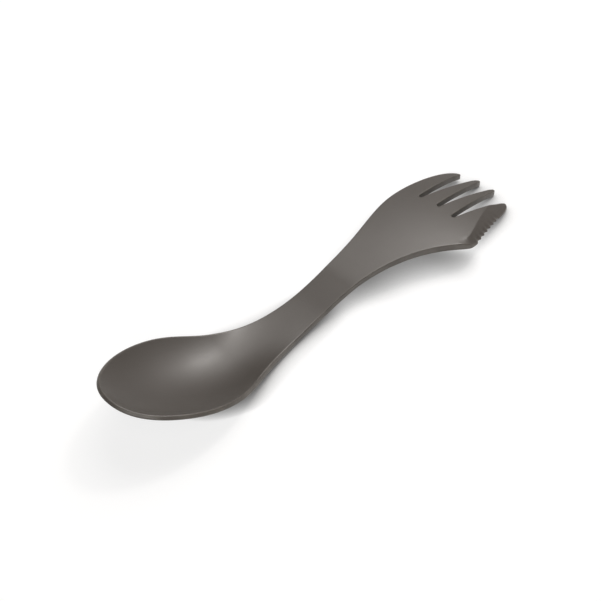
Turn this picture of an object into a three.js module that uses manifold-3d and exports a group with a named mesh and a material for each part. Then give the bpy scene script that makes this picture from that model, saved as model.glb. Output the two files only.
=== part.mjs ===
// A double-ended spork, moulded in one piece: a spoon at one end and a four-tine fork at the other, whose
// outer tine has a bevelled, serrated cutting edge. The wall waves up and down along its length, so the spoon
// opens upwards and the fork arches over and comes down again to its tips.
//
// Frame, in millimetres: +X runs from the spoon's tip to the fork's tips, +Z is up from the table, and the
// cutting edge is on the -Y side. The origin lies on the table, under the middle of the length and width.

import * as THREE from 'three';
import { mergeVertices } from 'three/addons/utils/BufferGeometryUtils.js';
import Module from 'manifold-3d';

// Length, and where the outline and the wave change along it, measured from the two ends.
const LENGTH = 170.2;
const SPOON_TIP_TO_WIDEST = 27;
const SPOON_TIP_TO_HEEL = 48.7;
const SPOON_TIP_TO_NECK = 74;
const SPOON_TIP_TO_WAIST = 86.1;
const SPOON_TIP_TO_LAND = 89.1;
const FORK_TIP_TO_SHOULDER = 26.4;
const FORK_TIP_TO_HUMP = 42.7;

// Widths of the outline. The fork's two sides differ, so they are measured from the middle line.
const SPOON_WIDTH = 37.8;
const WAIST_WIDTH = 12.4;
const SHOULDER_REACH = 15.1;
const CORNER_REACH = 20.2;

// How far each curve of the outline runs on in its end's direction: more makes that end fuller.
const SPOON_TIP_RUN = 12.6;
const SPOON_SIDE_RUN = 11.5;
const SPOON_BACK_RUN = 18.6;
const WAIST_TO_SPOON_RUN = 37.2;
const WAIST_TO_SHOULDER_RUN = 28.3;
const SHOULDER_RUN = 22.1;
const SHOULDER_TO_TIP_RUN = 8;
const OUTER_TIP_RUN = 4.5;
const WAIST_TO_CORNER_RUN = 38.1;
const CORNER_RUN = 4.9;

// The wave of the underside along the middle line. The land is the straight, flat stretch in the handle.
const SPOON_TIP_HEIGHT = 21.7;
const HUMP_HEIGHT = 8.2;
const LAND_LENGTH = 10.9;
const LAND_HEIGHT = 4.5;
const LAND_RISE = 2.7;
const SPOON_TIP_STEEPNESS = 1.3;
const FORK_TIP_STEEPNESS = 0.37;
const RISE_TO_SPOON_TIP_RUN = 13.5;
const HEEL_TO_SPOON_RUN = 17.9;
const HEEL_TO_LAND_RUN = 17.5;
const LAND_TO_HEEL_RUN = 7.4;
const LAND_TO_HUMP_RUN = 5.9;
const HUMP_TO_LAND_RUN = 13.6;
const HUMP_TO_TIP_RUN = 15.8;
const FALL_TO_FORK_TIP_RUN = 14.6;

// The wall, and the radii of the arcs across it: dished in the spoon, crowned over the fork.
const SPOON_TIP_WALL = 1.4;
const SPOON_WALL = 1.5;
const HANDLE_WALL = 2.3;
const FORK_WALL = 2.8;
const TINE_WALL = 1.9;
const RIM_ROUND = 0.4;
const SPOON_TIP_DISH_RADIUS = 19.7;
const SPOON_DISH_RADIUS = 24;
const HEEL_DISH_RADIUS = 24;
const FORK_CROWN_RADIUS = 144;

// The fork's tines and the slots between them, listed from the far side to the cutting side.
const TIP_TO_FORK_TIP = [2.8, 0, 0, 2.8];
const TIP_SIDEWAYS = [10.4, 3.4, -3.2, -11.1];
const TIP_ROUND_LENGTH = 4.5;
const SLOT_LENGTH = [28.1, 27.4, 28.4];
const SLOT_MOUTH_TO_FORK_TIP = 6;
const SLOT_ROOT_SIDEWAYS = [7.2, -0.4, -7.5];
const SLOT_ROOT_WIDTH = 1.3;
const SLOT_MOUTH_SIDEWAYS = [8.2, 0.5, -7];
const SLOT_MOUTH_WIDTH = [4.1, 3.3, 4.8];

// The cutting edge: a straight, toothed line from the fork's corner to the smooth end of the last tine.
const CORNER_TO_FORK_TIP = 32;
const EDGE_START_TO_FORK_TIP = 29;
const EDGE_START_REACH = 19.8;
const EDGE_START_RUN = 1;
const EDGE_END_TO_FORK_TIP = 11.2;
const EDGE_END_REACH = 14.8;
const KNIFE_TIP_RUN = 4;
const CUTTING_EDGE_WALL = 0.5;
const KNIFE_TIP_WALL = 1;
const BEVEL_START_WIDTH = 2;
const BEVEL_END_WIDTH = 6.8;
const BEVEL_FADE = 5;
const TEETH = 7;
const TOOTH_DEPTH = 0.6;

// The mesh: how closely it is divided, and how far cutters run past what they cut.
const SPOON_TIP_ROWS = 8;
const SPOON_TIP_ROWS_LENGTH = 2;
const ROW_SPACING = 2.2;
const FINE_ROW_SPACING = 0.75;
const COLUMNS = 14;
const ROUND_STEPS = 3;
const CURVE_SAMPLES = 160;
const SLOPE_STEP = 0.5;
const SPREAD_STEP = 0.01;
const OVERRUN = 4;

// A row that is cut near an end never gives one rounding step more than this share of its width.
const ROUND_STEP_SHARE = 0.02;
// A rounding takes at most this share of a thin wall.
const ROUND_WALL_SHARE = 0.45;
// The stretch of a row that the cutting bevel crosses takes at most this share of the row's width.
const BEVEL_ROW_SHARE = 0.2;
// The curves that round the tines' tips reach this share of their own length before they turn.
const TIP_TURN_SHARE = 0.5;
// The first row stands this share of a step inside the spoon's tip, where the outline closes.
const FIRST_ROW_SHARE = 0.6;

const SPOON_TIP_X = -LENGTH / 2;
const FORK_TIP_X = LENGTH / 2;
const WIDEST_X = SPOON_TIP_X + SPOON_TIP_TO_WIDEST;
const HEEL_X = SPOON_TIP_X + SPOON_TIP_TO_HEEL;
const NECK_X = SPOON_TIP_X + SPOON_TIP_TO_NECK;
const WAIST_X = SPOON_TIP_X + SPOON_TIP_TO_WAIST;
const LAND_X = SPOON_TIP_X + SPOON_TIP_TO_LAND;
const SHOULDER_X = FORK_TIP_X - FORK_TIP_TO_SHOULDER;
const HUMP_X = FORK_TIP_X - FORK_TIP_TO_HUMP;
const CORNER_X = FORK_TIP_X - CORNER_TO_FORK_TIP;
const EDGE_START_X = FORK_TIP_X - EDGE_START_TO_FORK_TIP;
const EDGE_END_X = FORK_TIP_X - EDGE_END_TO_FORK_TIP;
const TIP_X = TIP_TO_FORK_TIP.map((back) => FORK_TIP_X - back);
const LAST_TINE = TIP_X.length - 1;
const ALONG = [1, 0];
const OUTWARDS = [0, 1];

function point(place) {
  return new THREE.Vector2(...place);
}

// A curve between two places that leaves and arrives in the given directions.
function curve(from, leaving, leavingRun, to, arriving, arrivingRun) {
  const afterStart = point(from).addScaledVector(point(leaving).normalize(), leavingRun);
  const beforeEnd = point(to).addScaledVector(point(arriving).normalize(), -arrivingRun);
  return new THREE.CubicBezierCurve(point(from), afterStart, beforeEnd, point(to));
}

// Samples joined curves once, and returns a function that gives their height anywhere along X.
function heightOver(curves) {
  const points = curves.flatMap((piece) => piece.getPoints(CURVE_SAMPLES));
  return (x) => {
    const next = points.findIndex((sample) => sample.x > x);
    if (next === 0) return points[0].y;
    if (next < 0) return points[points.length - 1].y;
    const [a, b] = [points[next - 1], points[next]];
    return THREE.MathUtils.mapLinear(x, a.x, b.x, a.y, b.y);
  };
}

// Returns a function that eases a value between stops along X, and holds it beyond the outer ones.
function easeBetween(stops) {
  return (x) => {
    const next = stops.findIndex(([stopX]) => stopX > x);
    if (next === 0) return stops[0][1];
    if (next < 0) return stops[stops.length - 1][1];
    const [[ax, a], [bx, b]] = [stops[next - 1], stops[next]];
    return THREE.MathUtils.lerp(a, b, THREE.MathUtils.smoothstep(x, ax, bx));
  };
}

// The outline's two sides, each as its distance from the middle line.
const spoonSide = [
  curve([SPOON_TIP_X, 0], OUTWARDS, SPOON_TIP_RUN, [WIDEST_X, SPOON_WIDTH / 2], ALONG, SPOON_SIDE_RUN),
  curve([WIDEST_X, SPOON_WIDTH / 2], ALONG, SPOON_BACK_RUN,
    [WAIST_X, WAIST_WIDTH / 2], ALONG, WAIST_TO_SPOON_RUN),
];
const farTip = [TIP_X[0], TIP_SIDEWAYS[0]];
const farReach = heightOver([
  ...spoonSide,
  curve([WAIST_X, WAIST_WIDTH / 2], ALONG, WAIST_TO_SHOULDER_RUN,
    [SHOULDER_X, SHOULDER_REACH], ALONG, SHOULDER_RUN),
  curve([SHOULDER_X, SHOULDER_REACH], ALONG, SHOULDER_TO_TIP_RUN,
    farTip, [TIP_TO_FORK_TIP[0], -SHOULDER_REACH], OUTER_TIP_RUN),
]);
const corner = [CORNER_X, CORNER_REACH];
const edgeStart = [EDGE_START_X, EDGE_START_REACH];
const edgeEnd = [EDGE_END_X, EDGE_END_REACH];
const edgeDirection = point(edgeEnd).sub(point(edgeStart)).normalize();
const nearReach = heightOver([
  ...spoonSide,
  curve([WAIST_X, WAIST_WIDTH / 2], ALONG, WAIST_TO_CORNER_RUN, corner, ALONG, CORNER_RUN),
  curve(corner, ALONG, EDGE_START_RUN, edgeStart, edgeDirection, EDGE_START_RUN),
  new THREE.LineCurve(point(edgeStart), point(edgeEnd)),
  curve(edgeEnd, edgeDirection, KNIFE_TIP_RUN,
    [TIP_X[LAST_TINE], -TIP_SIDEWAYS[LAST_TINE]], [TIP_ROUND_LENGTH, -EDGE_END_REACH],
    KNIFE_TIP_RUN * TIP_TURN_SHARE),
]);

// The underside's wave along the middle line, which runs on straight past both ends. The inner tines stand on
// the table at their tips' lowest side.
const tipLift = TIP_SIDEWAYS[1] ** 2 / (2 * FORK_CROWN_RADIUS);
const landStart = [LAND_X - LAND_LENGTH / 2, LAND_HEIGHT - LAND_RISE / 2];
const landEnd = [LAND_X + LAND_LENGTH / 2, LAND_HEIGHT + LAND_RISE / 2];
const landDirection = [LAND_LENGTH, LAND_RISE];
const spoonTip = [SPOON_TIP_X, SPOON_TIP_HEIGHT];
const forkTip = [FORK_TIP_X, tipLift];
const runOn = ([x, height], steepness, along) => [x + along, height - steepness * along];
const underside = heightOver([
  new THREE.LineCurve(point(runOn(spoonTip, SPOON_TIP_STEEPNESS, -OVERRUN)), point(spoonTip)),
  curve(spoonTip, [1, -SPOON_TIP_STEEPNESS], RISE_TO_SPOON_TIP_RUN,
    [HEEL_X, 0], ALONG, HEEL_TO_SPOON_RUN),
  curve([HEEL_X, 0], ALONG, HEEL_TO_LAND_RUN, landStart, landDirection, LAND_TO_HEEL_RUN),
  new THREE.LineCurve(point(landStart), point(landEnd)),
  curve(landEnd, landDirection, LAND_TO_HUMP_RUN, [HUMP_X, HUMP_HEIGHT], ALONG, HUMP_TO_LAND_RUN),
  curve([HUMP_X, HUMP_HEIGHT], ALONG, HUMP_TO_TIP_RUN,
    forkTip, [1, -FORK_TIP_STEEPNESS], FALL_TO_FORK_TIP_RUN),
  new THREE.LineCurve(point(forkTip), point(runOn(forkTip, FORK_TIP_STEEPNESS, 2 * OVERRUN))),
]);

// How fast the wall rises away from the middle line: half of one over the arc's radius.
const crossBow = easeBetween([
  [SPOON_TIP_X, 1 / (2 * SPOON_TIP_DISH_RADIUS)],
  [WIDEST_X, 1 / (2 * SPOON_DISH_RADIUS)],
  [HEEL_X, 1 / (2 * HEEL_DISH_RADIUS)],
  [NECK_X, 0],
  [landEnd[0], 0],
  [HUMP_X, -1 / (2 * FORK_CROWN_RADIUS)],
]);

// The wall's thickness, its thickness at the near edge, and how far the cutting bevel reaches in from there.
const wall = easeBetween([
  [SPOON_TIP_X, SPOON_TIP_WALL],
  [WIDEST_X, SPOON_WALL],
  [NECK_X, HANDLE_WALL],
  [landEnd[0], HANDLE_WALL],
  [HUMP_X, FORK_WALL],
  [FORK_TIP_X, TINE_WALL],
]);
const nearEdgeWall = easeBetween([
  [WIDEST_X, SPOON_WALL],
  [NECK_X, HANDLE_WALL],
  [landEnd[0], HANDLE_WALL],
  [HUMP_X, FORK_WALL],
  [CORNER_X - BEVEL_FADE, FORK_WALL],
  [EDGE_START_X, CUTTING_EDGE_WALL],
  [EDGE_END_X, CUTTING_EDGE_WALL],
  [TIP_X[LAST_TINE], KNIFE_TIP_WALL],
]);
const bevelWidth = easeBetween([
  [CORNER_X - BEVEL_FADE, BEVEL_START_WIDTH],
  [EDGE_END_X, BEVEL_END_WIDTH],
]);

// The underside's height anywhere, and how fast it rises along and across, over a step either way.
function bottom(x, y) {
  return underside(x) + crossBow(x) * y ** 2;
}
function rises(x, y) {
  const along = (bottom(x + SLOPE_STEP, y) - bottom(x - SLOPE_STEP, y)) / (2 * SLOPE_STEP);
  return [along, 2 * crossBow(x) * y];
}

// A point at a height above the underside, measured square to it.
function above(x, y, height) {
  const [along, across] = rises(x, y);
  const square = new THREE.Vector3(-along, -across, 1).normalize();
  return new THREE.Vector3(x, y, bottom(x, y)).addScaledVector(square, height);
}

// How much of a move sideways at an edge is a move over the wall's surface, square to that edge.
function squareShare(x, reach, side) {
  const spread = (reach(x + SPREAD_STEP) - reach(x)) / SPREAD_STEP;
  const [along, across] = rises(x, side * reach(x));
  const squareSpread = Math.hypot(1, spread);
  return Math.hypot(1, (along * spread - side * across) / squareSpread) / squareSpread;
}

// One row across the part at x, as a closed ring of points: the underside from the near edge to the far
// edge, then the top back again. Both edges are rounded, by the true distance from the outline.
function sectionRing(x) {
  const near = -nearReach(x);
  const far = farReach(x);
  const width = far - near;
  const nearSquare = squareShare(x, nearReach, -1);
  const farSquare = squareShare(x, farReach, 1);
  const fullWall = wall(x);
  const edgeWall = Math.min(nearEdgeWall(x), fullWall);
  const bevel = Math.min(bevelWidth(x), width * BEVEL_ROW_SHARE);
  const wallAt = (y) => THREE.MathUtils.lerp(edgeWall, fullWall, Math.min(1, (y - near) / bevel));
  const roundOff = (y) => {
    const radius = Math.min(RIM_ROUND, wallAt(y) * ROUND_WALL_SHARE);
    const depth = Math.min((y - near) * nearSquare, (far - y) * farSquare);
    if (depth >= radius) return 0;
    return radius - Math.sqrt(radius ** 2 - (radius - depth) ** 2);
  };
  const roundInsets = (square, edgeThickness) => {
    const radius = Math.min(RIM_ROUND, edgeThickness * ROUND_WALL_SHARE);
    return Array.from({ length: ROUND_STEPS + 1 }, (_, step) => {
      const turn = (step / ROUND_STEPS) * (Math.PI / 2);
      return Math.min(radius * (1 - Math.cos(turn)) / square, width * step * ROUND_STEP_SHARE);
    });
  };
  const nearInsets = roundInsets(nearSquare, edgeWall);
  const farInsets = roundInsets(farSquare, fullWall).reverse();
  const first = near + bevel;
  const last = far - farInsets[0];
  const columns = [
    ...nearInsets.map((inset) => near + inset),
    ...Array.from({ length: COLUMNS }, (_, i) => THREE.MathUtils.lerp(first, last, i / COLUMNS)),
    ...farInsets.map((inset) => far - inset),
  ];
  const under = columns.map((y) => above(x, y, roundOff(y)));
  const over = columns.map((y) => above(x, y, wallAt(y) - roundOff(y)));
  return [...under, ...over.reverse()];
}

// The rows' places along X: close together at the spoon's tip, the fork's corner and the tines' ends.
function rowPlaces() {
  const places = Array.from({ length: SPOON_TIP_ROWS }, (_, i) => (
    SPOON_TIP_X + SPOON_TIP_ROWS_LENGTH * ((i + FIRST_ROW_SHARE) / SPOON_TIP_ROWS) ** 2));
  const fineStretches = [[CORNER_X - CORNER_RUN, EDGE_START_X], [EDGE_END_X, FORK_TIP_X]];
  let x = SPOON_TIP_X + SPOON_TIP_ROWS_LENGTH;
  while (x < FORK_TIP_X) {
    places.push(x);
    const fine = fineStretches.some(([start, end]) => x + ROW_SPACING > start && x < end);
    x += fine ? FINE_ROW_SPACING : ROW_SPACING;
  }
  return [...places, FORK_TIP_X + OVERRUN];
}

// Joins the rings into one closed body.
function loft(rings) {
  const size = rings[0].length;
  const indices = [];
  for (let row = 0; row + 1 < rings.length; row += 1) {
    for (let i = 0; i < size; i += 1) {
      const next = (i + 1) % size;
      const [a, b] = [row * size + i, row * size + next];
      const [c, d] = [a + size, b + size];
      indices.push(a, b, c, b, d, c);
    }
  }
  const lastRow = (rings.length - 1) * size;
  for (let i = 0; i + 1 < size / 2; i += 1) {
    const [a, b, c, d] = [i, i + 1, size - 1 - i, size - 2 - i];
    indices.push(a, c, b, b, c, d);
    indices.push(lastRow + a, lastRow + b, lastRow + c, lastRow + b, lastRow + d, lastRow + c);
  }
  const geometry = new THREE.BufferGeometry().setFromPoints(rings.flat());
  geometry.setIndex(indices);
  return geometry;
}

// Stands an outline up as a cutter that passes right through the fork.
function uprightCutter(shape) {
  const depth = HUMP_HEIGHT + FORK_WALL + 2 * OVERRUN;
  return new THREE.ExtrudeGeometry(shape, { depth, bevelEnabled: false }).translate(0, 0, -OVERRUN);
}

// Everything that is not tine beyond the slots' roots: the slots, and what lies past the rounded tips.
function combShape() {
  const outX = FORK_TIP_X + 2 * OVERRUN;
  const outY = SHOULDER_REACH + CORNER_REACH;
  const mouthX = FORK_TIP_X - SLOT_MOUTH_TO_FORK_TIP;
  const shape = new THREE.Shape().moveTo(outX, outY).lineTo(TIP_X[0], outY);
  shape.lineTo(TIP_X[0], TIP_SIDEWAYS[0]);
  SLOT_ROOT_SIDEWAYS.forEach((rootY, slot) => {
    const farSide = SLOT_MOUTH_SIDEWAYS[slot] + SLOT_MOUTH_WIDTH[slot] / 2;
    const nearSide = SLOT_MOUTH_SIDEWAYS[slot] - SLOT_MOUTH_WIDTH[slot] / 2;
    const [farTipX, nearTipX] = [TIP_X[slot], TIP_X[slot + 1]];
    const turn = TIP_ROUND_LENGTH * TIP_TURN_SHARE;
    const rootX = FORK_TIP_X - SLOT_LENGTH[slot] + SLOT_ROOT_WIDTH / 2;
    shape.bezierCurveTo(farTipX, (TIP_SIDEWAYS[slot] + farSide) / 2,
      farTipX - turn, farSide, farTipX - TIP_ROUND_LENGTH, farSide);
    shape.lineTo(rootX, rootY + SLOT_ROOT_WIDTH / 2);
    shape.absarc(rootX, rootY, SLOT_ROOT_WIDTH / 2, Math.PI / 2, Math.PI * 3 / 2, false);
    shape.lineTo(Math.min(mouthX, nearTipX - TIP_ROUND_LENGTH), nearSide);
    shape.bezierCurveTo(nearTipX - turn, nearSide,
      nearTipX, (TIP_SIDEWAYS[slot + 1] + nearSide) / 2, nearTipX, TIP_SIDEWAYS[slot + 1]);
  });
  return shape.lineTo(TIP_X[LAST_TINE], -outY).lineTo(outX, -outY).closePath();
}

// One notch between two teeth, as a triangle that opens away from the cutting edge.
function notchShape(index) {
  const start = new THREE.Vector2(EDGE_START_X, -EDGE_START_REACH);
  const end = new THREE.Vector2(EDGE_END_X, -EDGE_END_REACH);
  const pitch = start.distanceTo(end) / TEETH;
  const along = end.clone().sub(start).normalize();
  const inwards = new THREE.Vector2(-along.y, along.x);
  const middle = start.clone().addScaledVector(along, (index + 1 / 2) * pitch);
  const root = middle.clone().addScaledVector(inwards, TOOTH_DEPTH);
  const mouth = middle.clone().addScaledVector(inwards, -OVERRUN);
  const halfMouth = (pitch / 2) * (TOOTH_DEPTH + OVERRUN) / TOOTH_DEPTH;
  return new THREE.Shape([
    root,
    mouth.clone().addScaledVector(along, -halfMouth),
    mouth.clone().addScaledVector(along, halfMouth),
  ]);
}

const wasm = await Module();
wasm.setup();

function toSolid(geometry) {
  const bare = new THREE.BufferGeometry().setAttribute('position', geometry.getAttribute('position'));
  bare.setIndex(geometry.getIndex());
  const merged = mergeVertices(bare);
  return new wasm.Manifold(new wasm.Mesh({
    numProp: 3,
    vertProperties: new Float32Array(merged.getAttribute('position').array),
    triVerts: new Uint32Array(merged.getIndex().array),
  }));
}

function toGeometry(solid) {
  const mesh = solid.getMesh();
  const geometry = new THREE.BufferGeometry();
  geometry.setAttribute('position', new THREE.BufferAttribute(mesh.vertProperties, mesh.numProp));
  geometry.setIndex(new THREE.BufferAttribute(mesh.triVerts, 1));
  geometry.computeVertexNormals();
  return geometry;
}

const plastic = new THREE.MeshStandardMaterial({ color: 0x6b6661, roughness: 0.5, metalness: 0 });

function spork() {
  let solid = toSolid(loft(rowPlaces().map(sectionRing)));
  solid = solid.subtract(toSolid(uprightCutter(combShape())));
  for (let index = 0; index < TEETH; index += 1) {
    solid = solid.subtract(toSolid(uprightCutter(notchShape(index))));
  }
  const mesh = new THREE.Mesh(toGeometry(solid), plastic);
  mesh.name = 'spork';
  const middle = new THREE.Box3().setFromObject(mesh).getCenter(new THREE.Vector3());
  mesh.position.set(-middle.x, -middle.y, 0);
  return mesh;
}

const part = new THREE.Group();
part.add(spork());

export default part;
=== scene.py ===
"""A double-ended spork, moulded in one piece from satin, warm dark-grey plastic, on a white floor.

The wall is a sheet that waves along its length: dished in the spoon, flat in the handle and crowned over
the fork. Its outline is drawn flat here. Geometry Nodes tooth its cutting edge, raise it to the wave, give
it its thickness and round every edge. Frame, in metres: +X from the spoon's tip to the fork's tips, +Z up.
"""

import math

import bpy
import numpy as np
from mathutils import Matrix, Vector
from mathutils.geometry import delaunay_2d_cdt


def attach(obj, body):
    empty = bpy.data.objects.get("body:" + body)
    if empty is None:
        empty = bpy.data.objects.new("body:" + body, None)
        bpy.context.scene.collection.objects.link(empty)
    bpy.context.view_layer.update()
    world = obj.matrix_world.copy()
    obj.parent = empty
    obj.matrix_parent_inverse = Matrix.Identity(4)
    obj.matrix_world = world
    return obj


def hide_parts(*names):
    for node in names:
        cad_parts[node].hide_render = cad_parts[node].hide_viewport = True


# One millimetre in the scene's metres.
MM = 0.001

# Length, and where the outline and the wave change along it, in millimetres from the two ends.
LENGTH = 170.2
SPOON_TIP_TO_WIDEST = 27
SPOON_TIP_TO_HEEL = 48.7
SPOON_TIP_TO_NECK = 74
SPOON_TIP_TO_WAIST = 86.1
SPOON_TIP_TO_LAND = 89.1
FORK_TIP_TO_SHOULDER = 26.4
FORK_TIP_TO_HUMP = 42.7

# Widths of the outline, and how far each of its curves runs on in its end's direction.
SPOON_WIDTH = 37.77
WAIST_WIDTH = 12.4
SHOULDER_REACH = 15.1
CORNER_REACH = 20.2
SPOON_TIP_RUN = 12.6
SPOON_SIDE_RUN = 11.5
SPOON_BACK_RUN = 18.6
WAIST_TO_SPOON_RUN = 37.2
WAIST_TO_SHOULDER_RUN = 28.3
SHOULDER_RUN = 22.1
SHOULDER_TO_TIP_RUN = 8
OUTER_TIP_RUN = 4.5
WAIST_TO_CORNER_RUN = 38.1
CORNER_RUN = 4.9

# The wave of the underside along the middle line. The land is the straight, flat stretch in the handle.
SPOON_TIP_HEIGHT = 21.7
HUMP_HEIGHT = 8.2
LAND_LENGTH = 10.9
LAND_HEIGHT = 4.5
LAND_RISE = 2.7
SPOON_TIP_STEEPNESS = 1.3
FORK_TIP_STEEPNESS = 0.37
RISE_TO_SPOON_TIP_RUN = 13.5
HEEL_TO_SPOON_RUN = 17.9
HEEL_TO_LAND_RUN = 17.5
LAND_TO_HEEL_RUN = 7.4
LAND_TO_HUMP_RUN = 5.9
HUMP_TO_LAND_RUN = 13.6
HUMP_TO_TIP_RUN = 15.8
FALL_TO_FORK_TIP_RUN = 14.6

# The wall, and the radii of the arcs across it: dished in the spoon, crowned over the fork.
SPOON_TIP_WALL = 1.4
SPOON_WALL = 1.5
HANDLE_WALL = 2.3
FORK_WALL = 2.8
TINE_WALL = 2.3
RIM_ROUND = 0.4
SLOT_ROUND = 0.35
ROUND_WALL_SHARE = 0.45
SPOON_TIP_DISH_RADIUS = 19.7
SPOON_DISH_RADIUS = 24
HEEL_DISH_RADIUS = 24
FORK_CROWN_RADIUS = 144

# The tines and the slots between them, listed from the far side to the cutting side.
TIP_TO_FORK_TIP = [3, 0, 0.1, 2.2]
TIP_SIDEWAYS = [10.6, 3.9, -2.9, -10.1]
TIP_ROUND_LENGTH = 4.5
TIP_TURN_SHARE = 0.6
TIP_END_SHARE = 0.72
SLOT_LENGTH = [28.7, 27.9, 28.4]
SLOT_ROOT_SIDEWAYS = [7.6, 0.1, -7.1]
SLOT_ROOT_WIDTH = 1.3
SLOT_MOUTH_SIDEWAYS = [7.9, 0.6, -6.8]
SLOT_MOUTH_WIDTH = [4.8, 4.8, 5.4]

# The cutting edge, its teeth and its bevel.
CORNER_TO_FORK_TIP = 32
EDGE_START_TO_FORK_TIP = 29
EDGE_START_REACH = 19.8
EDGE_START_RUN = 1
EDGE_END_TO_FORK_TIP = 11.2
EDGE_END_REACH = 14.6
KNIFE_TIP_RUN = 4
CUTTING_EDGE_WALL = 0.5
KNIFE_TIP_WALL = 1
BEVEL_START_WIDTH = 2.6
BEVEL_END_WIDTH = 5.2
BEVEL_FADE = 5
TEETH = 7
TOOTH_DEPTH = 0.5
TOOTH_REACH = 2.4

# How finely the flat sheet is divided, in millimetres. Rings of points follow the outline at set depths,
# rows follow the bevel's crease, and an even field fills the rest. Points that would crowd are left out,
# and KEEP_INSIDE has the triangulation drop what lies outside the outline.
CURVE_SAMPLES = 240
OUTLINE_SPACING = 0.2
EDGE_RINGS = [0.03, 0.09, 0.17, 0.27, 0.4, 0.65, 1.1, 1.8]
FIELD_SPACING = 0.9
CREASE_SPACING = 0.22
CLOSEST_SHARE = 0.4
DEPTH_SHARE = 0.98
SLOPE_STEP = 0.5
WELD_DISTANCE = 0.001
SAME_PLACE = 0.000001
KEEP_INSIDE = 1

# The middle line's place in the frame, whose origin is under the middle of the whole length and width.
SHIFT = (-0.051, 0.789)

# The camera: where it aims, its turn and tilt in radians, how far it stands off, its lens and its film.
AIM = (-7.295, 1.658, 8)
CAMERA_TURN = 0.7642
CAMERA_TILT = 0.791
CAMERA_DISTANCE = 428.4
CAMERA_LENS = 79.71
FILM_WIDTH = 36

# The plastic: colours as linear red, green and blue, and the sizes of its marks in millimetres. Flow
# shading runs along the spork, patches vary the wear and the shine, and two sets of scratches cross.
DARK_PLASTIC = (0.071, 0.063, 0.0563)
PALE_PLASTIC = (0.105, 0.0932, 0.0833)
WORN_PLASTIC = (0.19, 0.175, 0.155)
PLASTIC_IOR = 1.6
ROUGHNESS = 0.42
GRAIN_SIZE = 0.35
GRAIN_DETAIL = 2
GRAIN_DEPTH = 0.03
GRAIN_TONE_SHARE = 0.4
BUMP_STRENGTH = 0.35
FLOW_SIZE = 14
FLOW_DETAIL = 3
FLOW_STRETCH = (0.4, 1, 1)
PATCH_SIZE = 5
PATCH_DETAIL = 2
PATCH_LEVELS = (0.35, 0.65)
PATCH_ROUGHNESS = 0.1
SCRATCH_SIZE = 0.5
SCRATCH_DETAIL = 1
SCRATCH_STRETCH = (0.03, 1, 1)
SCRATCH_LEVELS = (0.7, 0.76)
SCRATCH_TURNS = (0.5, -0.35)
SCRATCH_DEPTH_SHARE = 0.5
RIM_WEAR_WIDTH = 0.7
LEAST_WEAR_SHARE = 0.4
WEAR_STRENGTH = 0.5
RUBBED_SMOOTHER = 0.07

# The studio. Each round lamp: its direction in degrees round and up, its distance in metres, how many
# degrees wide it looks from the spork, and how bright it alone makes a white surface that faces it, where
# 1 is white.
LAMPS = [
    ("key_light", 6, 55, 2, 9, 0.21),
    ("low_light", 5, 46, 2, 38, 0.13),
    ("high_light", 14, 71, 2, 36, 0.14),
    ("broad_light", 34, 60, 2, 44, 0.34),
    ("back_light", 34, 20, 0.4, 50, 0.055),
    ("fill_light", -134, 40, 2, 50, 0.43),
]
LAMP_COLOUR = (1, 0.97, 0.94)
SURROUND = 0.03

# The floor, in metres. The camera sees it glow, but the glow is dimmed to a painted shadow where the spork
# is within reach, in millimetres.
# That painted shadow reaches further under the fork's arch, which starts and ends over the two stretches
# of X given here.
FLOOR_SIZE = 1.2
FLOOR_COLOUR = (0.8, 0.8, 0.8)
FLOOR_SEEN_COLOUR = (0.28, 0.28, 0.28)
FLOOR_GLOW = 0.78
# Reaches and sharpness of the painted shadow that dims the floor's glow near the spork.
PAINTED_SHADOW_REACH = 6
UNDER_FORK_START = (2, 24)
UNDER_FORK_END = (44, 60)
UNDER_FORK_PAINTED_SHADOW_REACH = 11
PAINTED_SHADOW_SHARPNESS = 2

# Directions in the plan, and how the mixing node names its sockets for each kind of value.
ALONG = (1, 0)
OUTWARDS = (0, 1)
KIND_NAMES = {"FLOAT": "Float", "VECTOR": "Vector", "RGBA": "Color"}

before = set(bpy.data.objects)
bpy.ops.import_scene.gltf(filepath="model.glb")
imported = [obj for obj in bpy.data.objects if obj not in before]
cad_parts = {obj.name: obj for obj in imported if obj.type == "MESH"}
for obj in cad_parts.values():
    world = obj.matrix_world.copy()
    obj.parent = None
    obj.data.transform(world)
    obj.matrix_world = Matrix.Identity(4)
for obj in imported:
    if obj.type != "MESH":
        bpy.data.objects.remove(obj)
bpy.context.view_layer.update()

# Places along X, in millimetres from the middle of the length.
spoon_tip_x = -LENGTH / 2
fork_tip_x = LENGTH / 2
widest_x = spoon_tip_x + SPOON_TIP_TO_WIDEST
heel_x = spoon_tip_x + SPOON_TIP_TO_HEEL
neck_x = spoon_tip_x + SPOON_TIP_TO_NECK
waist_x = spoon_tip_x + SPOON_TIP_TO_WAIST
land_x = spoon_tip_x + SPOON_TIP_TO_LAND
shoulder_x = fork_tip_x - FORK_TIP_TO_SHOULDER
hump_x = fork_tip_x - FORK_TIP_TO_HUMP
corner_x = fork_tip_x - CORNER_TO_FORK_TIP
edge_start_x = fork_tip_x - EDGE_START_TO_FORK_TIP
edge_end_x = fork_tip_x - EDGE_END_TO_FORK_TIP
tip_x = [fork_tip_x - back for back in TIP_TO_FORK_TIP]


def curve(start, leaving, leaving_run, end, arriving, arriving_run):
    """Points of a curve between two places that leaves and arrives in the given directions."""
    start, leaving, end, arriving = (np.array(v, float) for v in (start, leaving, end, arriving))
    after_start = start + leaving / np.hypot(*leaving) * leaving_run
    before_end = end - arriving / np.hypot(*arriving) * arriving_run
    return bezier(start, after_start, before_end, end)


def bezier(a, b, c, d):
    """Points of a curve from a to d that heads first for b and comes from c."""
    t = np.linspace(0, 1, CURVE_SAMPLES + 1)[:, None]
    a, b, c, d = (np.array(v, float) for v in (a, b, c, d))
    return (1 - t) ** 3 * a + 3 * (1 - t) ** 2 * t * b + 3 * (1 - t) * t**2 * c + t**3 * d


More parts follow.
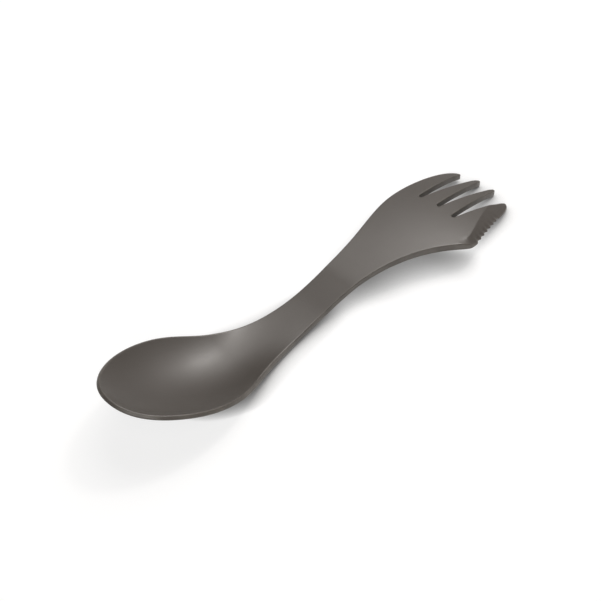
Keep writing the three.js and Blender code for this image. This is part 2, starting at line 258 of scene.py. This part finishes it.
def ease_between(stops):
    """A function that eases a value between stops along X, and holds it beyond the outer ones."""

    def value(x):
        result = np.full(np.shape(x), stops[0][1], float)
        for (from_x, before), (to_x, after) in zip(stops[:-1], stops[1:]):
            share = np.clip((x - from_x) / (to_x - from_x), 0, 1)
            result = np.where(x >= from_x, before + (after - before) * share**2 * (3 - 2 * share), result)
        return result

    return value


# The outline's two sides, each as its distance from the middle line.
corner = (corner_x, CORNER_REACH)
edge_start = (edge_start_x, EDGE_START_REACH)
edge_end = (edge_end_x, EDGE_END_REACH)
edge_direction = np.subtract(edge_end, edge_start)
widest = (widest_x, SPOON_WIDTH / 2)
waist = (waist_x, WAIST_WIDTH / 2)
shoulder = (shoulder_x, SHOULDER_REACH)
spoon_side = [
    curve((spoon_tip_x, 0), OUTWARDS, SPOON_TIP_RUN, widest, ALONG, SPOON_SIDE_RUN),
    curve(widest, ALONG, SPOON_BACK_RUN, waist, ALONG, WAIST_TO_SPOON_RUN),
]
far_side = np.vstack(spoon_side + [
    curve(waist, ALONG, WAIST_TO_SHOULDER_RUN, shoulder, ALONG, SHOULDER_RUN),
    curve(shoulder, ALONG, SHOULDER_TO_TIP_RUN, (tip_x[0], TIP_SIDEWAYS[0]),
          (TIP_TO_FORK_TIP[0], -SHOULDER_REACH), OUTER_TIP_RUN),
])
near_side = np.vstack(spoon_side + [
    curve(waist, ALONG, WAIST_TO_CORNER_RUN, corner, ALONG, CORNER_RUN),
    curve(corner, ALONG, EDGE_START_RUN, edge_start, edge_direction, EDGE_START_RUN),
    np.array([edge_start, edge_end]),
    curve(edge_end, edge_direction, KNIFE_TIP_RUN, (tip_x[-1], -TIP_SIDEWAYS[-1]),
          (TIP_ROUND_LENGTH, -EDGE_END_REACH), KNIFE_TIP_RUN * TIP_TURN_SHARE),
])


def slot_line(slot):
    """The line from one tine's tip round the slot beside it to the next tine's tip."""
    middle, half_mouth = SLOT_MOUTH_SIDEWAYS[slot], SLOT_MOUTH_WIDTH[slot] / 2
    root, half_root = SLOT_ROOT_SIDEWAYS[slot], SLOT_ROOT_WIDTH / 2
    root_x = fork_tip_x - SLOT_LENGTH[slot] + half_root
    turn = TIP_ROUND_LENGTH * TIP_TURN_SHARE
    from_tip = (tip_x[slot], TIP_SIDEWAYS[slot])
    to_tip = (tip_x[slot + 1], TIP_SIDEWAYS[slot + 1])
    lines = []
    for (x, y), side in ((from_tip, middle + half_mouth), (to_tip, middle - half_mouth)):
        blunt = (x, y + (side - y) * TIP_END_SHARE)
        lines.append(bezier((x, y), blunt, (x - turn, side), (x - TIP_ROUND_LENGTH, side)))
    angles = np.linspace(math.pi / 2, math.pi * 3 / 2, CURVE_SAMPLES)[:, None]
    round_root = np.array([root_x, root]) + half_root * np.hstack([np.cos(angles), np.sin(angles)])
    return np.vstack([lines[0], round_root, lines[1][::-1]])


def evenly(points, spacing):
    """The same line, as points at even distances."""
    steps = np.hypot(*np.diff(points, axis=0).T)
    points = np.vstack([points[:1], points[1:][steps > 0]])
    travelled = np.concatenate([[0], np.cumsum(steps[steps > 0])])
    count = max(2, round(travelled[-1] / spacing) + 1)
    places = np.linspace(0, travelled[-1], count)
    return np.column_stack([np.interp(places, travelled, points[:, axis]) for axis in range(2)])


# The wave, and how fast the wall rises away from the middle line: half of one over the arc's radius.
tip_lift = TIP_SIDEWAYS[1] ** 2 / (2 * FORK_CROWN_RADIUS)
land_start = (land_x - LAND_LENGTH / 2, LAND_HEIGHT - LAND_RISE / 2)
land_end = (land_x + LAND_LENGTH / 2, LAND_HEIGHT + LAND_RISE / 2)
land_direction = (LAND_LENGTH, LAND_RISE)
wave_line = np.vstack([
    curve((spoon_tip_x, SPOON_TIP_HEIGHT), (1, -SPOON_TIP_STEEPNESS), RISE_TO_SPOON_TIP_RUN,
          (heel_x, 0), ALONG, HEEL_TO_SPOON_RUN),
    curve((heel_x, 0), ALONG, HEEL_TO_LAND_RUN, land_start, land_direction, LAND_TO_HEEL_RUN),
    curve(land_end, land_direction, LAND_TO_HUMP_RUN, (hump_x, HUMP_HEIGHT), ALONG, HUMP_TO_LAND_RUN),
    curve((hump_x, HUMP_HEIGHT), ALONG, HUMP_TO_TIP_RUN,
          (fork_tip_x, tip_lift), (1, -FORK_TIP_STEEPNESS), FALL_TO_FORK_TIP_RUN),
])
cross_bow = ease_between([
    (spoon_tip_x, 1 / (2 * SPOON_TIP_DISH_RADIUS)),
    (widest_x, 1 / (2 * SPOON_DISH_RADIUS)),
    (heel_x, 1 / (2 * HEEL_DISH_RADIUS)),
    (neck_x, 0),
    (land_end[0], 0),
    (hump_x, -1 / (2 * FORK_CROWN_RADIUS)),
])
full_wall = ease_between([
    (spoon_tip_x, SPOON_TIP_WALL),
    (widest_x, SPOON_WALL),
    (neck_x, HANDLE_WALL),
    (land_end[0], HANDLE_WALL),
    (hump_x, FORK_WALL),
    (fork_tip_x, TINE_WALL),
])
near_edge_wall = ease_between([
    (widest_x, SPOON_WALL),
    (neck_x, HANDLE_WALL),
    (land_end[0], HANDLE_WALL),
    (hump_x, FORK_WALL),
    (corner_x - BEVEL_FADE, FORK_WALL),
    (edge_start_x, CUTTING_EDGE_WALL),
    (edge_end_x, CUTTING_EDGE_WALL),
    (tip_x[-1], KNIFE_TIP_WALL),
])
bevel_width = ease_between([
    (corner_x - BEVEL_FADE, BEVEL_START_WIDTH),
    (edge_end_x, BEVEL_END_WIDTH),
])


def wave(x):
    """The underside's height on the middle line."""
    return np.interp(x, wave_line[:, 0], wave_line[:, 1])


def near_reach(x):
    """How far the near side lies from the middle line."""
    return np.interp(x, near_side[:, 0], near_side[:, 1])


def bottom(x, y):
    """The underside's height."""
    return wave(x) + cross_bow(x) * y**2


def wall_at(x, y):
    """The wall's thickness, which the bevel thins towards the cutting edge."""
    thickest = full_wall(x)
    thinnest = np.minimum(near_edge_wall(x), thickest)
    share = np.clip((y + near_reach(x)) / bevel_width(x), 0, 1)
    return thinnest + (thickest - thinnest) * share


def outline_loop():
    """The whole outline once round, as points and the radius that the edge is rounded to at each."""
    stretches = [(far_side, RIM_ROUND)]
    stretches += [(slot_line(slot), SLOT_ROUND) for slot in range(len(SLOT_LENGTH))]
    stretches += [((near_side * (1, -1))[::-1], RIM_ROUND)]
    points, rounds = [], []
    for line, radius in stretches:
        even = evenly(line, OUTLINE_SPACING)[:-1]
        points.append(even)
        rounds.append(np.full(len(even), radius))
    return np.vstack(points), np.concatenate(rounds)


def nearest_on_loop(places, loop):
    """Each place's distance from the loop, the way to it from there, and the nearest point's number."""
    after = np.roll(loop, -1, axis=0) - loop
    squared = (after**2).sum(1)
    distances, ways, numbers = [], [], []
    for place in places:
        offset = place - loop
        share = np.clip((offset * after).sum(1) / squared, 0, 1)
        gap = offset - after * share[:, None]
        gap_squared = (gap**2).sum(1)
        nearest = int(np.argmin(gap_squared))
        distances.append(math.sqrt(gap_squared[nearest]))
        ways.append(gap[nearest])
        numbers.append(nearest)
    return np.array(distances), np.array(ways), np.array(numbers)


def inside_loop(places, loop):
    """Which places lie inside the loop: a line to their right crosses it an odd number of times."""
    ends = np.roll(loop, -1, axis=0)
    result = []
    for x, y in places:
        crossed = (loop[:, 1] > y) != (ends[:, 1] > y)
        a, b = loop[crossed], ends[crossed]
        hits = a[:, 0] + (y - a[:, 1]) * (b[:, 0] - a[:, 0]) / (b[:, 1] - a[:, 1])
        result.append((hits > x).sum() % 2 == 1)
    return np.array(result)


def surface_share(x, y, way):
    """How many times longer a step over the underside is than it looks from above, in the way given."""
    slope_x = (bottom(x + SLOPE_STEP, y) - bottom(x - SLOPE_STEP, y)) / (2 * SLOPE_STEP)
    slope_y = 2 * cross_bow(x) * y
    length = np.maximum(np.hypot(way[:, 0], way[:, 1]), WELD_DISTANCE)
    return np.hypot(1, (slope_x * way[:, 0] + slope_y * way[:, 1]) / length)


def edge_rings(loop):
    """Places at set depths inside the outline, each with the least room that it wants around it."""
    ahead = np.roll(loop, -1, axis=0) - np.roll(loop, 1, axis=0)
    inwards = np.column_stack([ahead[:, 1], -ahead[:, 0]]) / np.hypot(*ahead.T)[:, None]
    share = surface_share(loop[:, 0], loop[:, 1], inwards)
    rings = []
    for before, depth in zip([0] + EDGE_RINGS, EDGE_RINGS):
        stride = max(1, round((depth - before) / OUTLINE_SPACING))
        flat_depth = depth / share
        ring = loop + inwards * flat_depth[:, None]
        room = (depth - before) / share * CLOSEST_SHARE
        rings.append(np.column_stack([ring, flat_depth, room])[::stride])
    return np.vstack(rings)


def crease_rows():
    """Places along the line where the cutting bevel meets the fork's flat, and close beside it."""
    x = np.arange(corner_x, tip_x[-1], OUTLINE_SPACING)
    line = np.column_stack([x, bevel_width(x) - near_reach(x)])
    rows = np.vstack([line + (0, side * CREASE_SPACING) for side in (0, -1, 1)])
    room = np.full(len(rows), CREASE_SPACING * CLOSEST_SHARE)
    return np.column_stack([rows, np.full(len(rows), CREASE_SPACING), room])


def field_rows():
    """Places that fill the rest of the sheet evenly."""
    rows = np.arange(-CORNER_REACH, CORNER_REACH, FIELD_SPACING * math.sqrt(3) / 2)
    places = [
        (x + (row % 2) * FIELD_SPACING / 2, y)
        for row, y in enumerate(rows)
        for x in np.arange(spoon_tip_x, fork_tip_x, FIELD_SPACING)
    ]
    depth = np.full(len(places), EDGE_RINGS[-1])
    room = np.full(len(places), FIELD_SPACING * CLOSEST_SHARE)
    return np.column_stack([places, depth, room])


def thin_out(wanted):
    """Keeps each place in turn, unless one that is already kept is nearer than the room it wants."""
    cells, kept = {}, []
    for x, y, _, room in wanted:
        column, row = int(x // FIELD_SPACING), int(y // FIELD_SPACING)
        beside = (
            place
            for i in (column - 1, column, column + 1)
            for j in (row - 1, row, row + 1)
            for place in cells.get((i, j), ())
        )
        if all((x - a) ** 2 + (y - b) ** 2 > room**2 for a, b in beside):
            cells.setdefault((column, row), []).append((x, y))
            kept.append((x, y))
    return np.array(kept)


def flat_sheet(plastic):
    """The outline filled with triangles, as a flat mesh that carries the wall's values at each point."""
    loop, rounds = outline_loop()
    wanted = np.vstack([edge_rings(loop), crease_rows(), field_rows()])
    wanted = wanted[inside_loop(wanted[:, :2], loop)]
    distance, _, _ = nearest_on_loop(wanted[:, :2], loop)
    kept = thin_out(wanted[distance > wanted[:, 2] * DEPTH_SHARE])
    points = [Vector(place) for place in np.vstack([loop, kept])]
    edges = [(i, (i + 1) % len(loop)) for i in range(len(loop))]
    corners, _, faces, _, _, _ = delaunay_2d_cdt(points, edges, [], KEEP_INSIDE, SAME_PLACE)
    places = np.array(corners)
    distance, way, nearest = nearest_on_loop(places, loop)
    x, y = places.T
    mesh = bpy.data.meshes.new("flat_sheet")
    mesh.from_pydata([((a + SHIFT[0]) * MM, (b + SHIFT[1]) * MM, 0) for a, b in places], [], faces)
    mesh.materials.append(plastic)
    values = {
        "wave": wave(x) * MM,
        "bow": cross_bow(x) / MM,
        "wall": wall_at(x, y) * MM,
        "edge_round": rounds[nearest] * MM,
        "edge_distance": distance * surface_share(x, y, way) * MM,
    }
    for name, numbers in values.items():
        mesh.attributes.new(name, "FLOAT", "POINT").data.foreach_set("value", numbers.astype(np.float32))
    return mesh


def put(tree, kind, inputs=None, **settings):
    """Adds a node, with its settings, and with a value or a wire at each named input."""
    node = tree.nodes.new(kind)
    for name, value in settings.items():
        setattr(node, name, value)
    for name, value in (inputs or {}).items():
        if isinstance(value, bpy.types.NodeSocket):
            tree.links.new(value, node.inputs[name])
        else:
            node.inputs[name].default_value = value
    return node


def number(tree, operation, *values):
    """The result of one sum on numbers."""
    kind = "ShaderNodeMath"
    return put(tree, kind, dict(enumerate(values)), operation=operation).outputs[0]


def arrow(tree, operation, *values):
    """The result of one sum on vectors, as a number where the sum gives one."""
    node = put(tree, "ShaderNodeVectorMath", dict(enumerate(values)), operation=operation)
    gives_number = operation in ("DOT_PRODUCT", "LENGTH", "DISTANCE")
    return node.outputs["Value" if gives_number else "Vector"]


def scaled(tree, vector, factor):
    """The vector made longer by a factor."""
    node = put(tree, "ShaderNodeVectorMath", {"Vector": vector, "Scale": factor}, operation="SCALE")
    return node.outputs["Vector"]


def eased(tree, value, low, high, to_low=0.0, to_high=1.0):
    """The value, moved smoothly from one range to another and held at its ends."""
    ranges = {"Value": value, "From Min": low, "From Max": high, "To Min": to_low, "To Max": to_high}
    return put(tree, "ShaderNodeMapRange", ranges, interpolation_type="SMOOTHSTEP").outputs["Result"]


def blended(tree, kind, factor, first, second):
    """Two values of a kind, mixed by a factor."""
    mix = put(tree, "ShaderNodeMix", data_type=kind)
    sockets = {"Factor_Float": factor, f"A_{KIND_NAMES[kind]}": first, f"B_{KIND_NAMES[kind]}": second}
    for socket in mix.inputs:
        value = sockets.get(socket.identifier)
        if isinstance(value, bpy.types.NodeSocket):
            tree.links.new(value, socket)
        elif value is not None:
            socket.default_value = value
    return next(socket for socket in mix.outputs if socket.identifier == f"Result_{KIND_NAMES[kind]}")


def stored(tree, name, kind="FLOAT"):
    """A value that the mesh carries at each point."""
    node = put(tree, "GeometryNodeInputNamedAttribute", {"Name": name}, data_type=kind)
    return node.outputs["Attribute"]


def store(tree, geometry, name, value, kind="FLOAT"):
    """The geometry, carrying one more value at each point."""
    inputs = {"Geometry": geometry, "Name": name, "Value": value}
    return put(tree, "GeometryNodeStoreNamedAttribute", inputs, data_type=kind).outputs["Geometry"]


def moved(tree, geometry, offset, selection=True):
    """The geometry with its points moved."""
    inputs = {"Geometry": geometry, "Offset": offset, "Selection": selection}
    return put(tree, "GeometryNodeSetPosition", inputs).outputs["Geometry"]


def teeth_offset(tree, start, end, teeth, depth, reach):
    """How far each point moves inwards to turn the straight edge from start to end into a row of teeth."""
    place = put(tree, "GeometryNodeInputPosition").outputs[0]
    run = arrow(tree, "SUBTRACT", end, start)
    along = arrow(tree, "NORMALIZE", run)
    inwards = arrow(tree, "CROSS_PRODUCT", (0, 0, 1), along)
    from_start = arrow(tree, "SUBTRACT", place, start)
    travelled = arrow(tree, "DOT_PRODUCT", from_start, along)
    share = number(tree, "DIVIDE", travelled, arrow(tree, "LENGTH", run))
    past_start = number(tree, "GREATER_THAN", share, 0)
    on_edge = number(tree, "MULTIPLY", past_start, number(tree, "LESS_THAN", share, 1))
    turn = number(tree, "MULTIPLY", number(tree, "MULTIPLY", share, teeth), math.pi)
    hollow = number(tree, "ABSOLUTE", number(tree, "SINE", turn))
    nearness = eased(tree, arrow(tree, "DOT_PRODUCT", from_start, inwards), 0.0, reach, 1.0, 0.0)
    cut = number(tree, "MULTIPLY", number(tree, "MULTIPLY", hollow, on_edge), nearness)
    return scaled(tree, inwards, number(tree, "MULTIPLY", cut, depth))


def wall_tree():
    """Geometry Nodes that turn the flat sheet into the moulded wall: toothed, waved and rounded."""
    tree = bpy.data.node_groups.new("moulded_wall", "GeometryNodeTree")
    sockets = [
        ("Flat sheet", "NodeSocketGeometry"),
        ("Middle line", "NodeSocketFloat"),
        ("Edge start", "NodeSocketVector"),
        ("Edge end", "NodeSocketVector"),
        ("Teeth", "NodeSocketInt"),
        ("Tooth depth", "NodeSocketFloat"),
        ("Tooth reach", "NodeSocketFloat"),
        ("Round wall share", "NodeSocketFloat"),
        ("Upright from", "NodeSocketFloat"),
        ("Upright to", "NodeSocketFloat"),
        ("Weld distance", "NodeSocketFloat"),
        ("Plastic", "NodeSocketMaterial"),
    ]
    for name, kind in sockets:
        tree.interface.new_socket(name, in_out="INPUT", socket_type=kind)
    tree.interface.new_socket("Moulding", in_out="OUTPUT", socket_type="NodeSocketGeometry")
    given = put(tree, "NodeGroupInput").outputs

    # The teeth, then the wave along the middle line and the bow across it.
    wanted = ("Edge start", "Edge end", "Teeth", "Tooth depth", "Tooth reach")
    teeth = teeth_offset(tree, *(given[name] for name in wanted))
    toothed = moved(tree, given["Flat sheet"], teeth)
    place = put(tree, "GeometryNodeInputPosition").outputs[0]
    parts = put(tree, "ShaderNodeSeparateXYZ", {0: place}).outputs
    across = number(tree, "SUBTRACT", parts["Y"], given["Middle line"])
    squared = number(tree, "MULTIPLY", across, across)
    rise = number(tree, "MULTIPLY_ADD", squared, stored(tree, "bow"), stored(tree, "wave"))
    waved = moved(tree, toothed, put(tree, "ShaderNodeCombineXYZ", {"Z": rise}).outputs[0])

    # The wall's direction: square to the underside, but upright round the tines, as their slots are cut.
    square = put(tree, "GeometryNodeInputNormal").outputs[0]
    height = number(tree, "DIVIDE", 1.0, put(tree, "ShaderNodeSeparateXYZ", {0: square}).outputs["Z"])
    upright = put(tree, "ShaderNodeCombineXYZ", {"Z": height}).outputs[0]
    share = eased(tree, parts["X"], given["Upright from"], given["Upright to"])
    direction = blended(tree, "VECTOR", share, square, upright)

    # How far the rounded edge stands in from the wall's two faces.
    wall = stored(tree, "wall")
    largest = number(tree, "MULTIPLY", wall, given["Round wall share"])
    radius = number(tree, "MINIMUM", stored(tree, "edge_round"), largest)
    reached = number(tree, "MINIMUM", stored(tree, "edge_distance"), radius)
    short = number(tree, "SUBTRACT", radius, reached)
    radius_squared = number(tree, "MULTIPLY", radius, radius)
    rise_squared = number(tree, "SUBTRACT", radius_squared, number(tree, "MULTIPLY", short, short))
    rise_squared = number(tree, "MAXIMUM", rise_squared, 0.0)
    inset = number(tree, "SUBTRACT", radius, number(tree, "SQRT", rise_squared))
    through = number(tree, "SUBTRACT", wall, number(tree, "MULTIPLY", inset, 2.0))
    marked = store(tree, waved, "up", scaled(tree, direction, inset), "FLOAT_VECTOR")
    marked = store(tree, marked, "through", scaled(tree, direction, through), "FLOAT_VECTOR")
    under = moved(tree, marked, stored(tree, "up", "FLOAT_VECTOR"))

    # The top, the edges all round and the underside, joined into one closed body.
    inputs = {"Mesh": under, "Offset Scale": 0.0, "Individual": False}
    raised = put(tree, "GeometryNodeExtrudeMesh", inputs, mode="FACES")
    upwards = stored(tree, "through", "FLOAT_VECTOR")
    top = moved(tree, raised.outputs["Mesh"], upwards, raised.outputs["Top"])
    turned = put(tree, "GeometryNodeFlipFaces", {"Mesh": under}).outputs["Mesh"]
    joined = put(tree, "GeometryNodeJoinGeometry")
    tree.links.new(top, joined.inputs[0])
    tree.links.new(turned, joined.inputs[0])
    inputs = {"Geometry": joined.outputs[0], "Distance": given["Weld distance"]}
    welded = put(tree, "GeometryNodeMergeByDistance", inputs).outputs[0]
    for name in ("wave", "bow", "wall", "edge_round", "up", "through"):
        welded = put(tree, "GeometryNodeRemoveAttribute", {"Geometry": welded, "Name": name}).outputs[0]
    smooth = put(tree, "GeometryNodeSetShadeSmooth", {"Geometry": welded}).outputs[0]
    real = put(tree, "GeometryNodeRealizeInstances", {"Geometry": smooth}).outputs[0]
    inputs = {"Geometry": real, "Material": given["Plastic"]}
    put(tree, "NodeGroupOutput", {"Moulding": put(tree, "GeometryNodeSetMaterial", inputs).outputs[0]})
    return tree


def moulding(plastic):
    """The spork itself, as one closed mesh."""
    sheet = bpy.data.objects.new("spork_moulding", flat_sheet(plastic))
    bpy.context.collection.objects.link(sheet)
    modifier = sheet.modifiers.new("moulded_wall", "NODES")
    modifier.node_group = wall_tree()
    sizes = {
        "Middle line": SHIFT[1] * MM,
        "Edge start": ((edge_start_x + SHIFT[0]) * MM, (SHIFT[1] - EDGE_START_REACH) * MM, 0),
        "Edge end": ((edge_end_x + SHIFT[0]) * MM, (SHIFT[1] - EDGE_END_REACH) * MM, 0),
        "Teeth": TEETH,
        "Tooth depth": TOOTH_DEPTH * MM,
        "Tooth reach": TOOTH_REACH * MM,
        "Round wall share": ROUND_WALL_SHARE,
        "Upright from": hump_x * MM,
        "Upright to": (fork_tip_x - SLOT_LENGTH[0]) * MM,
        "Weld distance": WELD_DISTANCE * MM,
        "Plastic": plastic,
    }
    for item in modifier.node_group.interface.items_tree:
        if item.name in sizes:
            modifier[item.identifier] = sizes[item.name]
    evaluated = sheet.evaluated_get(bpy.context.evaluated_depsgraph_get())
    solid = bpy.data.meshes.new_from_object(evaluated)
    sheet.modifiers.clear()
    sheet.data = solid
    return sheet


def satin_plastic():
    """Satin moulded plastic: fine grain, faint flow shading, hairline scratches and rubbed edges."""
    material = bpy.data.materials.new("satin_plastic")
    material.use_nodes = True
    tree = material.node_tree
    shader = tree.nodes["Principled BSDF"]
    shader.inputs["IOR"].default_value = PLASTIC_IOR
    place = put(tree, "ShaderNodeTexCoord").outputs["Object"]

    def noise(size, detail, stretch=(1, 1, 1), turn=0):
        inputs = {"Vector": place, "Scale": stretch, "Rotation": (0, 0, turn)}
        laid = put(tree, "ShaderNodeMapping", inputs).outputs[0]
        inputs = {"Vector": laid, "Scale": 1 / (size * MM), "Detail": detail}
        return put(tree, "ShaderNodeTexNoise", inputs).outputs["Fac"]

    grain = noise(GRAIN_SIZE, GRAIN_DETAIL)
    flow = noise(FLOW_SIZE, FLOW_DETAIL, FLOW_STRETCH)
    patch = noise(PATCH_SIZE, PATCH_DETAIL)
    scratch_lines = [
        eased(tree, noise(SCRATCH_SIZE, SCRATCH_DETAIL, SCRATCH_STRETCH, turn), *SCRATCH_LEVELS)
        for turn in SCRATCH_TURNS
    ]
    scratches = number(tree, "MAXIMUM", *scratch_lines)
    edge = put(tree, "ShaderNodeAttribute", attribute_name="edge_distance").outputs["Fac"]
    rim = eased(tree, edge, 0, RIM_WEAR_WIDTH * MM, 1, 0)
    wear = number(tree, "MULTIPLY", rim, eased(tree, patch, *PATCH_LEVELS, LEAST_WEAR_SHARE, 1))

    tone = blended(tree, "FLOAT", GRAIN_TONE_SHARE, flow, grain)
    body = blended(tree, "RGBA", tone, (*DARK_PLASTIC, 1), (*PALE_PLASTIC, 1))
    worn = blended(tree, "RGBA", number(tree, "MULTIPLY", wear, WEAR_STRENGTH), body, (*WORN_PLASTIC, 1))
    tree.links.new(worn, shader.inputs["Base Color"])

    patched = number(tree, "MULTIPLY_ADD", patch, PATCH_ROUGHNESS, ROUGHNESS - PATCH_ROUGHNESS / 2)
    rubbed = number(tree, "MULTIPLY", number(tree, "MAXIMUM", wear, scratches), RUBBED_SMOOTHER)
    tree.links.new(number(tree, "SUBTRACT", patched, rubbed), shader.inputs["Roughness"])

    height = number(tree, "SUBTRACT", grain, number(tree, "MULTIPLY", scratches, SCRATCH_DEPTH_SHARE))
    inputs = {"Height": height, "Strength": BUMP_STRENGTH, "Distance": GRAIN_DEPTH * MM}
    tree.links.new(put(tree, "ShaderNodeBump", inputs).outputs[0], shader.inputs["Normal"])
    return material


def white_floor():
    """A white floor that keeps the spork's shadow, glows for the camera with a painted shadow where the
    spork is near, and can't be seen from below.
    """
    material = bpy.data.materials.new("white_floor")
    material.use_nodes = True
    tree = material.node_tree
    tree.nodes.remove(tree.nodes["Principled BSDF"])
    seen = put(tree, "ShaderNodeLightPath").outputs["Is Camera Ray"]
    tone = blended(tree, "RGBA", seen, (*FLOOR_COLOUR, 1), (*FLOOR_SEEN_COLOUR, 1))
    matt = put(tree, "ShaderNodeBsdfDiffuse", {"Color": tone})
    # Painted shadow: the camera's glow is dimmed where the spork is within reach, and the reach is longer
    # under the fork's arch.
    place = put(tree, "ShaderNodeTexCoord").outputs["Object"]
    along = put(tree, "ShaderNodeSeparateXYZ", {0: place}).outputs["X"]
    started = eased(tree, along, *(x * MM for x in UNDER_FORK_START))
    going_on = eased(tree, along, *(x * MM for x in UNDER_FORK_END), 1, 0)
    under_fork = number(tree, "MULTIPLY", started, going_on)
    reach = blended(tree, "FLOAT", under_fork, PAINTED_SHADOW_REACH * MM, UNDER_FORK_PAINTED_SHADOW_REACH * MM)
    clear = put(tree, "ShaderNodeAmbientOcclusion", {"Distance": reach}).outputs["AO"]
    clear = number(tree, "POWER", clear, PAINTED_SHADOW_SHARPNESS)
    light = number(tree, "MULTIPLY", number(tree, "MULTIPLY", seen, FLOOR_GLOW), clear)
    glow = put(tree, "ShaderNodeEmission", {"Strength": light})
    both = put(tree, "ShaderNodeAddShader", {0: matt.outputs[0], 1: glow.outputs[0]})
    from_below = put(tree, "ShaderNodeNewGeometry").outputs["Backfacing"]
    unseen = put(tree, "ShaderNodeBsdfTransparent").outputs[0]
    shown = put(tree, "ShaderNodeMixShader", {0: from_below, 1: both.outputs[0], 2: unseen})
    tree.links.new(shown.outputs[0], tree.nodes["Material Output"].inputs["Surface"])
    half = FLOOR_SIZE / 2
    corners = [(-half, -half, 0), (half, -half, 0), (half, half, 0), (-half, half, 0)]
    mesh = bpy.data.meshes.new("floor")
    mesh.from_pydata(corners, [], [range(len(corners))])
    mesh.materials.append(material)
    floor = bpy.data.objects.new("floor", mesh)
    bpy.context.collection.objects.link(floor)


def aimed(thing, place, target):
    """Puts a lamp or a camera at a place, looking at a target."""
    holder = bpy.data.objects.new(thing.name, thing)
    bpy.context.collection.objects.link(holder)
    holder.location = place
    holder.rotation_euler = (Vector(target) - Vector(place)).to_track_quat("-Z", "Y").to_euler()
    return holder


def lamp(name, azimuth, elevation, distance, width, light):
    """A round soft lamp that faces the spork. Its energy makes up for the square of its distance."""
    data = bpy.data.lights.new(name, "AREA")
    data.shape = "DISK"
    data.size = 2 * distance * math.tan(math.radians(width / 2))
    data.energy = light * (math.pi * distance) ** 2
    data.color = LAMP_COLOUR
    turn, rise = math.radians(azimuth), math.radians(elevation)
    level = math.cos(rise)
    way = Vector((math.cos(turn) * level, math.sin(turn) * level, math.sin(rise)))
    aimed(data, way * distance, (0, 0, 0))


def studio():
    """Lamps, a faint even surround that the camera sees as white, and the camera."""
    for name, *settings in LAMPS:
        lamp(name, *settings)
    world = bpy.data.worlds.new("surround")
    world.use_nodes = True
    tree = world.node_tree
    seen = put(tree, "ShaderNodeLightPath").outputs["Is Camera Ray"]
    strength = number(tree, "MULTIPLY_ADD", seen, 1 - SURROUND, SURROUND)
    tree.links.new(strength, tree.nodes["Background"].inputs["Strength"])
    tree.nodes["Background"].inputs["Color"].default_value = (1, 1, 1, 1)
    bpy.context.scene.world = world
    bpy.context.scene.view_settings.view_transform = "Standard"
    data = bpy.data.cameras.new("camera")
    data.sensor_width = FILM_WIDTH
    data.lens = CAMERA_LENS
    aim = Vector(AIM) * MM
    level = math.cos(CAMERA_TILT)
    way = Vector((math.sin(CAMERA_TURN) * level, math.cos(CAMERA_TURN) * level, -math.sin(CAMERA_TILT)))
    bpy.context.scene.camera = aimed(data, aim - way * CAMERA_DISTANCE * MM, aim)


plastic = satin_plastic()
spork = moulding(plastic)
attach(spork, "root")
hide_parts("spork")
white_floor()
studio()
